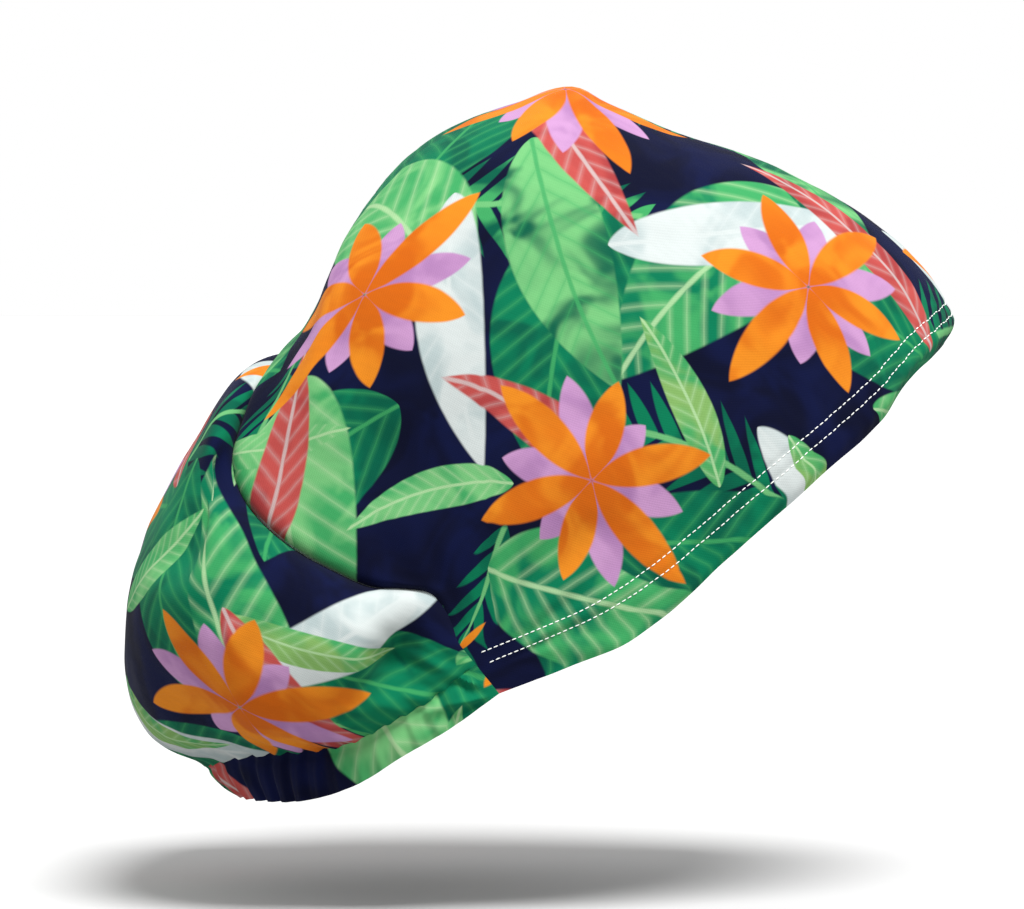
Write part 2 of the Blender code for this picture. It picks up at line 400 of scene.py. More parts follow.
def flatten(grid: np.ndarray, rounds: int = 500) -> np.ndarray:
    """Lay a curved piece of cloth flat, as it was cut.

    The threads of a coarse copy keep their lengths as nearly as they can.

    Args:
        grid: points of the piece, by column and row.
        rounds: how often the lengths are evened out.

    Returns:
        Flat place of each point in metres, across and along the cloth.
    """
    across = np.linspace(0, grid.shape[0] - 1, 61).round().astype(int)
    run = run_down(grid).mean(axis=0)
    down = np.unique([int(np.argmin(abs(run - wanted))) for wanted in np.linspace(0.0, run[-1], 25)])
    coarse = grid[across][:, down]
    length = run_down(coarse)
    middle = coarse[:, coarse.shape[1] // 2]
    step = np.linalg.norm(np.diff(middle, axis=0), axis=1)
    place = np.concatenate(([0.0], np.cumsum(step)))
    place -= place[len(place) // 2]
    flat = np.stack([place[:, None] + 0 * length, length - 0.5 * length[:, -1:]], axis=-1)
    links = []
    for i, j in ((1, 0), (0, 1), (1, 1), (1, -1)):
        here = (slice(0, flat.shape[0] - i), slice(max(0, -j), flat.shape[1] - max(0, j)))
        there = (slice(i, flat.shape[0]), slice(max(0, j), flat.shape[1] + min(0, j)))
        links.append((here, there, np.linalg.norm(coarse[there] - coarse[here], axis=-1)))
    for _ in range(rounds):
        push, count = np.zeros_like(flat), np.zeros(flat.shape[:2])
        for here, there, rest in links:
            gap = flat[there] - flat[here]
            now = np.maximum(np.linalg.norm(gap, axis=-1), 1e-9)
            pull = gap * ((now - rest) / now * 0.5)[..., None]
            push[here] += pull
            push[there] -= pull
            count[here] += 1
            count[there] += 1
        flat += 1.2 * push / count[..., None]
    columns = np.arange(grid.shape[0])
    fine = np.empty(grid.shape[:2] + (2,))
    for axis in range(2):
        part = np.stack([np.interp(columns, across, line) for line in flat[..., axis].T], axis=1)
        fine[..., axis] = np.stack([np.interp(run, run[down], line) for line in part])
    return fine


def flat_area(flat: np.ndarray) -> float:
    """Return the area in square metres of a piece that is laid flat."""
    a, b = flat[1:, 1:] - flat[:-1, :-1], flat[1:, :-1] - flat[:-1, 1:]
    return float(np.abs(a[..., 0] * b[..., 1] - a[..., 1] * b[..., 0]).sum() / 2)


def linear(code: str) -> tuple[float, float, float, float]:
    """Turn a screen colour such as 1b2048 into linear light."""
    parts = [int(code[i:i + 2], 16) / 255 for i in (0, 2, 4)]
    shades = [p / 12.92 if p <= 0.04045 else ((p + 0.055) / 1.055) ** 2.4 for p in parts]
    return (shades[0], shades[1], shades[2], 1.0)


class Dye(Enum):
    """Colours of the print."""

    NAVY = "0b1440"
    INK = "060b2a"
    BRIGHT = "7fcf84"
    LEAF = "45b068"
    DEEP = "028058"
    TEAL = "00634a"
    SAGE = "8cbd6a"
    PALE = "bfe6ae"
    ORANGE = "fb9624"
    AMBER = "df6c12"
    CORAL = "cf5853"
    ROSE = "b24243"
    LILAC = "d6a2d4"
    MAUVE = "b784bb"
    CREAM = "e2eae8"
    MIST = "c2d2d2"


class Motif(Enum):
    """Shapes that the print is made of."""

    LEAF = "print_leaf"
    FROND = "print_frond"
    BLOOM = "print_bloom"


@dataclass(frozen=True)
class Spray:
    """A motif strewn over the cloth, one in each cell of a turned square grid.

    Sizes are in metres. The turn is of the grid, share is how many of the
    cells are filled, and other takes the place of light in half of them.
    """

    motif: Motif
    cell: float
    size: float
    turn: float
    light: Dye
    other: Dye
    deep: Dye
    mark: Dye
    slim: float = 0.4
    share: float = 1.0


LEAF, FROND, BLOOM = Motif.LEAF, Motif.FROND, Motif.BLOOM

# From the ground of the print up to its top
PRINT_LAYERS: tuple[Spray, ...] = (
    Spray(FROND, 0.110, 0.050, 17.0, Dye.DEEP, Dye.LEAF, Dye.TEAL, Dye.BRIGHT, 0.40),
    Spray(LEAF, 0.104, 0.047, 40.0, Dye.DEEP, Dye.DEEP, Dye.TEAL, Dye.LEAF, 0.70, 0.98),
    Spray(LEAF, 0.116, 0.053, 73.0, Dye.BRIGHT, Dye.DEEP, Dye.LEAF, Dye.PALE, 0.62, 0.95),
    Spray(LEAF, 0.100, 0.046, 21.0, Dye.DEEP, Dye.BRIGHT, Dye.TEAL, Dye.LEAF, 0.50, 0.55),
    Spray(LEAF, 0.108, 0.049, 33.0, Dye.CREAM, Dye.CREAM, Dye.MIST, Dye.CREAM, 0.34, 0.45),
    Spray(LEAF, 0.066, 0.030, 84.0, Dye.SAGE, Dye.BRIGHT, Dye.LEAF, Dye.PALE, 0.33, 0.34),
    Spray(LEAF, 0.094, 0.043, 61.0, Dye.CORAL, Dye.CORAL, Dye.ROSE, Dye.CREAM, 0.30, 0.70),
    Spray(BLOOM, 0.104, 0.047, 8.0, Dye.ORANGE, Dye.ORANGE, Dye.AMBER, Dye.LILAC, 0.22, 0.92),
)


class Graph:
    """Adds and wires the nodes of one tree."""

    def __init__(self, tree: Tree) -> None:
        """Keep the tree that the nodes go into."""
        self.tree = tree

    def node(self, kind: str, **settings: object) -> bpy.types.Node:
        """Add a node and set its properties."""
        made = self.tree.nodes.new(kind)
        for name, value in settings.items():
            setattr(made, name, value)
        return made

    def put(self, socket: Socket, value: object) -> None:
        """Wire a socket to another one, or set its value."""
        if isinstance(value, Socket):
            self.tree.links.new(value, socket)
        else:
            socket.default_value = value

    def math(self, kind: str, a: object, b: object = 0.0, c: object = 0.0) -> Socket:
        """Add a Math node and return its result."""
        made = self.node("ShaderNodeMath", operation=kind)
        for socket, value in zip(made.inputs, (a, b, c)):
            self.put(socket, value)
        return made.outputs[0]

    def times(self, a: object, b: object) -> Socket:
        """Multiply two numbers."""
        return self.math("MULTIPLY", a, b)

    def times_plus(self, a: object, b: object, c: object) -> Socket:
        """Multiply two numbers and add a third."""
        return self.math("MULTIPLY_ADD", a, b, c)

    def minus(self, a: object, b: object) -> Socket:
        """Take the second number from the first."""
        return self.math("SUBTRACT", a, b)

    def positive(self, a: object) -> Socket:
        """Return a number without its sign."""
        return self.math("ABSOLUTE", a)

    def vector(self, kind: str, a: object, b: object = (0.0, 0.0, 0.0)) -> Socket:
        """Add a Vector Math node and return its vector."""
        made = self.node("ShaderNodeVectorMath", operation=kind)
        for socket, value in zip(made.inputs, (a, b)):
            self.put(socket, value)
        return made.outputs[0]

    def rise(self, value: object, low: object, high: object) -> Socket:
        """Add a soft step from 0 at low to 1 at high."""
        made = self.node("ShaderNodeMapRange", interpolation_type="SMOOTHSTEP")
        self.put(made.inputs["Value"], value)
        self.put(made.inputs["From Min"], low)
        self.put(made.inputs["From Max"], high)
        return made.outputs["Result"]

    def blend(self, share: object, a: object, b: object) -> Socket:
        """Mix two colours and return the result."""
        made = self.node("ShaderNodeMix", data_type="RGBA")
        self.put(made.inputs[0], share)
        self.put(made.inputs[6], a)
        self.put(made.inputs[7], b)
        return made.outputs[2]

    def scale(self, vector: object, size: object) -> Socket:
        """Scale a vector by a number."""
        made = self.node("ShaderNodeVectorMath", operation="SCALE")
        self.put(made.inputs[0], vector)
        self.put(made.inputs["Scale"], size)
        return made.outputs[0]

    def parts(self, vector: object) -> tuple[Socket, Socket]:
        """Return the X and Y of a vector."""
        made = self.node("ShaderNodeSeparateXYZ")
        self.put(made.inputs[0], vector)
        return made.outputs[0], made.outputs[1]

    def use(self, group: Tree, **values: object) -> bpy.types.Node:
        """Place a node group, and set or wire its inputs."""
        made = self.node("ShaderNodeGroup", node_tree=group)
        for name, value in values.items():
            self.put(made.inputs[name], value)
        return made


class EffectGroup:
    """A shader node group with named sockets, built once."""

    KINDS = {"f": "NodeSocketFloat", "v": "NodeSocketVector", "c": "NodeSocketColor"}

    def __init__(self, name: str, inputs: str, outputs: str) -> None:
        """Make the group.

        Args:
            name: name of the group.
            inputs: its inputs with their kinds, such as "Print:v Size:f".
            outputs: its outputs in the same way.
        """
        self.tree = bpy.data.node_groups.new(name, "ShaderNodeTree")
        for words, way in ((inputs, "INPUT"), (outputs, "OUTPUT")):
            for word in words.split():
                label, kind = word.split(":")
                self.tree.interface.new_socket(label, in_out=way, socket_type=self.KINDS[kind])
        self.graph = Graph(self.tree)
        self.source = self.graph.node("NodeGroupInput")
        self.result = self.graph.node("NodeGroupOutput")

    def read(self, name: str) -> Socket:
        """Return one of the group's inputs."""
        return self.source.outputs[name]

    def give(self, name: str, value: object) -> None:
        """Wire one of the group's outputs."""
        self.graph.put(self.result.inputs[name], value)


@dataclass
class BotanicalPrint:
    """The print of the cloth: leaves, fronds and blooms strewn over navy."""

    edge: float = 0.012
    drift: float = 0.09
    leaf_bend: float = 0.11
    frond_bend: float = 0.20
    leaflets: float = 12.0
    petals: int = 6
    layers: tuple[Spray, ...] = PRINT_LAYERS

    SOCKETS: ClassVar[str] = "Local:v Slim:f Wash:f Chance:f Share:f Under:c Light:c Other:c Deep:c Mark:c"

    def place_group(self) -> Tree:
        """Return the group that finds a motif's own place inside its cell."""
        group = EffectGroup("print_place", "Print:v Cell:f Size:f Turn:f Seed:f", "Local:v Chance:f")
        g = group.graph
        turned = g.node("ShaderNodeVectorRotate", rotation_type="Z_AXIS")
        g.put(turned.inputs["Vector"], group.read("Print"))
        g.put(turned.inputs["Angle"], group.read("Turn"))
        cells = g.scale(turned.outputs[0], g.math("DIVIDE", 1.0, group.read("Cell")))
        corner = g.vector("FLOOR", cells)
        inside = g.vector("SUBTRACT", g.vector("SUBTRACT", cells, corner), (0.5, 0.5, 0.0))
        key = g.node("ShaderNodeCombineXYZ")
        g.put(key.inputs[0], g.parts(corner)[0])
        g.put(key.inputs[1], g.parts(corner)[1])
        g.put(key.inputs[2], group.read("Seed"))
        dice = g.node("ShaderNodeTexWhiteNoise", noise_dimensions="3D")
        g.put(dice.inputs["Vector"], key.outputs[0])
        shift = g.scale(g.vector("SUBTRACT", dice.outputs["Color"], (0.5, 0.5, 0.5)), self.drift)
        moved = g.vector("MULTIPLY", g.vector("SUBTRACT", inside, shift), (1.0, 1.0, 0.0))
        facing = g.node("ShaderNodeVectorRotate", rotation_type="Z_AXIS")
        g.put(facing.inputs["Vector"], moved)
        g.put(facing.inputs["Angle"], g.times(dice.outputs["Value"], 2 * math.pi))
        zoom = g.math("DIVIDE", group.read("Cell"), group.read("Size"))
        group.give("Local", g.scale(facing.outputs[0], zoom))
        lot = g.math("FRACT", g.times(dice.outputs["Value"], 7.31))
        group.give("Chance", lot)
        return group.tree

    def start(self, motif: Motif) -> tuple[EffectGroup, object, object, object, object]:
        """Begin a motif's group.

        Args:
            motif: the motif that the group paints.

        Returns:
            The group, the place along and beside the motif, 1 where its cell is
            filled, and its first colour.
        """
        group = EffectGroup(motif.value, self.SOCKETS, "Colour:c")
        g = group.graph
        x, y = g.parts(group.read("Local"))
        filled = g.math("LESS_THAN", group.read("Chance"), group.read("Share"))
        half = g.times(group.read("Share"), 0.5)
        first = g.math("LESS_THAN", group.read("Chance"), half)
        return group, x, y, filled, g.blend(first, group.read("Light"), group.read("Other"))

    def blade(self, g: Graph, along: object, base: float, tip: float, slim: object) -> object:
        """Return the half width of a leaf or petal, 0 from its tip on."""
        rise = g.math("POWER", g.math("MAXIMUM", along, 0.0), base)
        fall = g.math("POWER", g.math("MAXIMUM", g.minus(1.0, along), 0.0), tip)
        return g.times(g.times(rise, fall), g.times(slim, 2.0))

    def leaf_group(self) -> Tree:
        """Return the group that paints one pointed leaf with a midrib and side veins."""
        group, x, y, filled, first = self.start(Motif.LEAF)
        g = group.graph
        y = g.minus(y, g.times(g.times(x, x), self.leaf_bend))
        along = g.times_plus(x, 0.5, 0.5)
        wide = self.blade(g, along, 0.62, 0.88, group.read("Slim"))
        side = g.positive(y)
        mask = g.times(g.rise(g.minus(wide, side), 0.0, 2 * self.edge), filled)
        veins = g.minus(g.times(x, 6.0), g.times(side, 6.5))
        veins = g.positive(g.minus(g.math("FRACT", veins), 0.5))
        broad = g.rise(group.read("Slim"), 0.26, 0.34)
        line = g.times(g.rise(veins, 0.07, 0.03), 0.16)
        stroke = g.times_plus(g.rise(veins, 0.34, 0.0), 0.26, line)
        vein = g.times(stroke, broad)
        rib = g.times(g.rise(side, 0.026, 0.006), g.times_plus(broad, 0.50, 0.30))
        tone = g.times_plus(group.read("Wash"), 0.80, g.times(side, 0.55))
        colour = g.blend(g.rise(tone, 0.15, 0.95), first, group.read("Deep"))
        colour = g.blend(g.math("MAXIMUM", vein, rib), colour, group.read("Mark"))
        group.give("Colour", g.blend(mask, group.read("Under"), colour))
        return group.tree

    def frond_group(self) -> Tree:
        """Return the group that paints one palm frond of slanting leaflets."""
        group, x, y, filled, first = self.start(Motif.FROND)
        g = group.graph
        y = g.minus(y, g.times(g.times(x, x), self.frond_bend))
        side = g.positive(y)
        along = g.times_plus(g.minus(x, g.times(side, 0.85)), 0.5, 0.5)
        reach = g.math("MAXIMUM", self.blade(g, along, 0.45, 0.60, group.read("Slim")), 0.001)
        out = g.math("MINIMUM", g.math("DIVIDE", side, reach), 1.0)
        comb = g.positive(g.minus(g.math("FRACT", g.times(along, self.leaflets)), 0.5))
        thick = g.times_plus(g.math("POWER", out, 2.2), -0.44, 0.42)
        leaflet = g.times(g.rise(g.minus(thick, comb), 0.0, 0.10), g.rise(reach, 0.004, 0.02))
        stem = g.times(g.rise(side, 0.030, 0.012), g.rise(g.positive(x), 0.97, 0.94))
        tone = g.times_plus(group.read("Wash"), 0.8, g.times(out, 0.35))
        colour = g.blend(g.rise(tone, 0.15, 0.90), first, group.read("Deep"))
        colour = g.blend(g.times(stem, 0.8), colour, group.read("Mark"))
        mask = g.times(g.math("MAXIMUM", leaflet, stem), filled)
        group.give("Colour", g.blend(mask, group.read("Under"), colour))
        return group.tree

    def bloom_group(self) -> Tree:
        """Return the group that paints one bloom of two rings of pointed petals."""
        petals = self.petals
        group, x, y, filled, first = self.start(Motif.BLOOM)
        g = group.graph
        far = g.math("SQRT", g.times_plus(x, x, g.times(y, y)))
        sectors = g.times(g.math("ARCTAN2", y, x), petals / (2 * math.pi))
        colour = group.read("Under")
        for shift, long, light in ((0.5, 0.78, group.read("Mark")), (0.0, 1.0, first)):
            sector = g.math("ADD", sectors, shift)
            number = g.math("ROUND", sector)
            turn = g.times(g.minus(sector, number), 2 * math.pi / petals)
            phase = g.times(number, 4 * math.pi / petals)
            uneven = g.math("SINE", g.times_plus(group.read("Chance"), 40.0, phase))
            reach = g.times_plus(uneven, 0.15 * long, 0.85 * long)
            along = g.math("DIVIDE", g.times(far, g.math("COSINE", turn)), reach)
            side = g.positive(g.times(far, g.math("SINE", turn)))
            wide = self.blade(g, along, 0.80, 0.80, group.read("Slim"))
            mask = g.times(g.rise(g.minus(wide, side), 0.0, 2 * self.edge), filled)
            tone = g.times_plus(group.read("Wash"), 0.60, g.times_plus(along, -0.60, 0.45))
            shade = group.read("Deep") if shift == 0.0 else linear(Dye.MAUVE.value)
            petal = g.blend(g.rise(tone, 0.05, 0.85), light, shade)
            colour = g.blend(mask, colour, petal)
        group.give("Colour", colour)
        return group.tree

    def wash_group(self) -> Tree:
        """Return the group that gives the uneven tone of the brushed colours."""
        group = EffectGroup("print_wash", "Print:v", "Wash:f Grain:f")
        g = group.graph
        broad = g.node("ShaderNodeTexNoise", noise_dimensions="2D")
        g.put(broad.inputs["Vector"], group.read("Print"))
        for name, value in (("Scale", 46.0), ("Detail", 2.0), ("Roughness", 0.55), ("Distortion", 0.6)):
            broad.inputs[name].default_value = value
        fine = g.node("ShaderNodeTexNoise", noise_dimensions="2D")
        g.put(fine.inputs["Vector"], g.vector("MULTIPLY", group.read("Print"), (420.0, 120.0, 1.0)))
        fine.inputs["Scale"].default_value = 1.0
        fine.inputs["Detail"].default_value = 2.0
        group.give("Wash", g.rise(broad.outputs[0], 0.30, 0.70))
        group.give("Grain", fine.outputs[0])
        return group.tree

    def build(self) -> Tree:
        """Return the group that paints the whole print.

        Returns:
            Group with the flat place on the roll as input and the colour as output.
        """
        place = self.place_group()
        shapes = {
            Motif.LEAF: self.leaf_group(),
            Motif.FROND: self.frond_group(),
            Motif.BLOOM: self.bloom_group(),
        }
        group = EffectGroup("botanical_print", "Print:v", "Colour:c Grain:f")
        g = group.graph
        wash = g.use(self.wash_group(), Print=group.read("Print"))
        colour = g.blend(wash.outputs["Wash"], linear(Dye.NAVY.value), linear(Dye.INK.value))
        for number, spray in enumerate(self.layers):
            cell = g.use(
                place,
                Print=group.read("Print"),
                Cell=spray.cell,
                Size=spray.size,
                Turn=math.radians(spray.turn),
                Seed=float(number),
            )
            painted = g.use(
                shapes[spray.motif],
                Local=cell.outputs["Local"],
                Chance=cell.outputs["Chance"],
                Share=spray.share,
                Slim=spray.slim,
                Wash=wash.outputs["Wash"],
                Under=colour,
                Light=linear(spray.light.value),
                Other=linear(spray.other.value),
                Deep=linear(spray.deep.value),
                Mark=linear(spray.mark.value),
            )
            colour = painted.outputs[0]
        group.give("Colour", colour)
        group.give("Grain", wash.outputs["Grain"])
        return group.tree


@dataclass
class CottonWeave:
    """Plain weave of the cotton, as a tone and a height."""

    threads: float = 2600.0

    def build(self) -> Tree:
        """Return the group of the weave.

        Returns:
            Group with the flat place on the roll as input, and the tone and
            height of the threads as outputs.
        """
        group = EffectGroup("cotton_weave", "Print:v Grain:f", "Tone:f Height:f")
        g = group.graph
        x, y = g.parts(g.vector("MULTIPLY", group.read("Print"), (self.threads * math.pi,) * 2 + (1.0,)))
        cross = g.times(g.math("SINE", x), g.math("SINE", y))
        slub = g.times(g.minus(group.read("Grain"), 0.5), 0.9)
        group.give("Tone", g.math("ADD", g.times(cross, 0.35), slub))
        group.give("Height", g.math("ADD", g.times(cross, 0.5), slub))
        return group.tree


@dataclass(frozen=True)
class PrintedCotton:
    """Finish of one piece of cloth, cut from its own place on the printed roll."""

    name: str
    shift: Pair
    turn: float
    fade: float = 0.0
    strength: float = 0.47
    roughness: float = 0.88
    faded: str = "8f959c"
    weave_tone: float = 0.05
    weave_roughness: float = 0.10
    relief: float = 0.35
    thread_height: float = 0.00012
    sheen: float = 0.02
    sheen_roughness: float = 0.5
    specular: float = 0.06

    def build(self, print_group: Tree, weave_group: Tree) -> Material:
        """Make the material.

        Args:
            print_group: group that paints the print.
            weave_group: group that gives the weave.

        Returns:
            The finished material.
        """
        material = bpy.data.materials.new(self.name)
        material.use_nodes = True
        g = Graph(material.node_tree)
        shader = material.node_tree.nodes["Principled BSDF"]
        place = g.node("ShaderNodeUVMap", uv_map="print").outputs[0]
        mapped = g.node("ShaderNodeMapping", vector_type="POINT")
        g.put(mapped.inputs["Vector"], place)
        mapped.inputs["Location"].default_value = self.shift + (0.0,)
        mapped.inputs["Rotation"].default_value = (0.0, 0.0, math.radians(self.turn))
        painted = g.use(print_group, Print=mapped.outputs[0])
        weave = g.use(weave_group, Print=mapped.outputs[0], Grain=painted.outputs["Grain"])
        tone = g.times_plus(weave.outputs["Tone"], self.weave_tone, self.strength)
        colour = g.vector("MULTIPLY", painted.outputs["Colour"], tone)
        if self.fade > 0.0:
            colour = g.blend(self.fade, colour, linear(self.faded))
        g.put(shader.inputs["Base Color"], colour)
        rough = g.times_plus(weave.outputs["Tone"], self.weave_roughness, self.roughness)
        g.put(shader.inputs["Roughness"], rough)
        bump = g.node("ShaderNodeBump")
        bump.inputs["Strength"].default_value = self.relief
        bump.inputs["Distance"].default_value = self.thread_height
        g.put(bump.inputs["Height"], weave.outputs["Height"])
        g.put(shader.inputs["Normal"], bump.outputs[0])
        shader.inputs["Sheen Weight"].default_value = self.sheen
        shader.inputs["Sheen Roughness"].default_value = self.sheen_roughness
        shader.inputs["Specular IOR Level"].default_value = self.specular
        return material


@dataclass(frozen=True)
class SewingThread:
    """Finish of the sewing thread."""

    name: str = "white_thread"
    colour: str = "d9dbd6"

    def build(self) -> Material:
        """Make the material: pale twisted thread with a soft shine."""
        material = bpy.data.materials.new(self.name)
        material.use_nodes = True
        g = Graph(material.node_tree)
        shader = material.node_tree.nodes["Principled BSDF"]
        place = g.node("ShaderNodeTexCoord").outputs["Object"]
        ply = g.node("ShaderNodeTexWave", wave_type="BANDS", bands_direction="DIAGONAL")
        g.put(ply.inputs["Vector"], place)
        ply.inputs["Scale"].default_value = 900.0
        tone = g.times_plus(ply.outputs["Fac"], 0.22, 0.80)
        g.put(shader.inputs["Base Color"], g.vector("MULTIPLY", linear(self.colour)[:3], tone))
        shader.inputs["Roughness"].default_value = 0.55
        shader.inputs["Sheen Weight"].default_value = 0.2
        return material


def cut_cloth(name: str, shift: Pair, turn: float, groups: tuple[Tree, Tree]) -> Finish:
    """Make the finishes of one piece's cloth.

    Args:
        name: name of the finish of the face.
        shift: place of the piece on the printed roll.
        turn: its turn on the roll, in degrees.
        groups: the groups of the print and of the weave.

    Returns:
        The finishes of the face and of the faded reverse.
    """
    face = PrintedCotton(name, shift, turn)
    reverse = PrintedCotton(name + "_reverse", shift, turn, fade=0.45)
    return face.build(*groups), reverse.build(*groups)


@dataclass(frozen=True)
class EarCreases:
    """Fine creases that run out from the gathered corner at each ear.

    The centre is in side view, as shares. The height and the reach over which
    the creases fade are in metres, and count is the creases in a full turn.
    """

    height: float
    centre: Pair
    reach: float
    count: float

    def read(self, grid: np.ndarray, form: CapForm) -> np.ndarray:
        """Return the creases on a grid, as values of about -1 to 1."""
        offset = grid[..., [0, 2]] - form.metres(np.array(self.centre))
        far = np.linalg.norm(offset, axis=-1)
        angle = np.arctan2(offset[..., 1], offset[..., 0])
        wobble = 0.35 * np.sin(3 * angle + form.spread[:, None]) + 18 * far
        fine = 0.4 * np.cos(1.7 * self.count * angle + 2.0)
        shape = np.cos(self.count * (angle + 0.25 * wobble)) + fine
        return shape * np.exp(-((far / self.reach) ** 1.3)) * smooth_step(0.002, 0.012, far)


# Where the elastic draws the bag and the casing together
EAR_PUCKER = EarCreases(0.0026, (-0.098, -0.150), 0.017, 13.0)


def quads(*corners: np.ndarray) -> np.ndarray:
    """Return the four-sided faces whose corners run through four arrays of indices."""
    return np.stack(corners, -1).reshape(-1, 4)


def place_mesh(name: str, points: list, faces: list, materials: tuple[Material, ...]) -> Piece:
    """Make a smooth object from points and faces.

    Args:
        name: name of the piece.
        points: its points in metres.
        faces: point numbers of each face.
        materials: its finishes.

    Returns:
        The new object, in the scene.
    """
    mesh = bpy.data.meshes.new(name)
    mesh.from_pydata(points, [], faces)
    for material in materials:
        mesh.materials.append(material)
    mesh.shade_smooth()
    piece = bpy.data.objects.new(name, mesh)
    bpy.context.collection.objects.link(piece)
    LOG.info("%s: %d faces", name, len(mesh.polygons))
    return piece


@dataclass
class SewnPiece:
    """A piece of cloth with a face side and a reverse side, sewn to its neighbours."""

    form: CapForm
    cloth: float = 0.0007
    skin: np.ndarray = field(init=False)
    way: np.ndarray = field(init=False)

    NAME: ClassVar[str] = ""
    SEAM_DIP: ClassVar[float] = 0.0022
    SEAM_SPREAD: ClassVar[float] = 0.008
    SEAM_CREASE: ClassVar[float] = 0.0012
    CREASE_SPREAD: ClassVar[float] = 0.0022
    # Where the cloth bends sharply its wall is thinned, so that its sides stay apart
    BEND_ROUNDS: ClassVar[int] = 8
    BEND_RANGE: ClassVar[Pair] = (0.01, 0.05)
    MOST_THINNED: ClassVar[float] = 0.85
    SHARP_EDGE: ClassVar[float] = 55.0

    def shape(self) -> np.ndarray:
        """Return the face side, and keep its outward directions."""
        raise NotImplementedError

    def declare(self, piece: Piece, flat: Pair, area: float) -> None:
        """Hide the solid that the object stands for."""
        raise NotImplementedError

    def wall(self) -> np.ndarray:
        """Return the thickness of the cloth at each point."""
        return np.full(self.skin.shape[:2], self.cloth)

    def draw_in(self, lift: np.ndarray, to_seam: np.ndarray) -> np.ndarray:
        """Return the heights of the cloth with the rear seam pulled in."""
        lift = lift - self.SEAM_DIP * self.form.ends * bell(to_seam / self.SEAM_SPREAD)
        return lift - self.SEAM_CREASE * self.form.ends * bell(to_seam / self.CREASE_SPREAD)

    def inner_side(self) -> np.ndarray:
        """Return the reverse side, which lies one wall behind the face side."""
        facing = outward(self.skin)
        bent = 1 - (facing * ease(facing, self.BEND_ROUNDS)).sum(axis=-1)
        wall = self.wall() * (1 - self.MOST_THINNED * smooth_step(*self.BEND_RANGE, bent))
        return self.skin - self.way * wall[..., None]

    def sew(self, flat: np.ndarray, materials: Finish) -> Piece:
        """Make the object from its face side, reverse side and raw edges.

        Args:
            flat: flat place of each point, for the print.
            materials: finishes of the face and of the reverse.

        Returns:
            The new object.
        """
        points = np.concatenate([side.reshape(-1, 3) for side in (self.skin, self.inner_side())])
        index = np.arange(len(points) // 2).reshape(self.skin.shape[:2])
        back = index + index.size
        front_faces = quads(index[:-1, :-1], index[:-1, 1:], index[1:, 1:], index[1:, :-1])
        back_faces = quads(back[:-1, :-1], back[1:, :-1], back[1:, 1:], back[:-1, 1:])
        rims = [
            quads(index[:-1, 0], index[1:, 0], back[1:, 0], back[:-1, 0]),
            quads(index[1:, -1], index[:-1, -1], back[:-1, -1], back[1:, -1]),
            quads(index[0, 1:], index[0, :-1], back[0, :-1], back[0, 1:]),
            quads(index[-1, :-1], index[-1, 1:], back[-1, 1:], back[-1, :-1]),
        ]
        faces = np.concatenate([front_faces, back_faces] + rims)
        piece = place_mesh(self.NAME, points.tolist(), faces.tolist(), materials)
        mesh = piece.data
        corners = np.empty(len(mesh.loops), np.int32)
        mesh.loops.foreach_get("vertex_index", corners)
        both = np.concatenate([flat.reshape(-1, 2)] * 2)
        mesh.uv_layers.new(name="print").data.foreach_set("uv", both[corners].ravel())
        slots = np.zeros(len(faces), np.int32)
        slots[len(front_faces):len(front_faces) + len(back_faces)] = 1
        mesh.polygons.foreach_set("material_index", slots)
        mesh.set_sharp_from_angle(angle=math.radians(self.SHARP_EDGE))
        mesh.validate()
        return piece

    def build(self, materials: Finish) -> Piece:
        """Make the object, and keep its face side.

        Args:
            materials: finishes of the face and of the reverse.

        Returns:
            The new object, which stands for its node of the solid model.
        """
        self.skin = self.shape()
        flat = flatten(self.skin)
        piece = self.sew(flat, materials)
        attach(piece, "root")
        width, length = np.ptp(flat.reshape(-1, 2), axis=0).tolist()
        self.declare(piece, (width, length), flat_area(flat))
        return piece


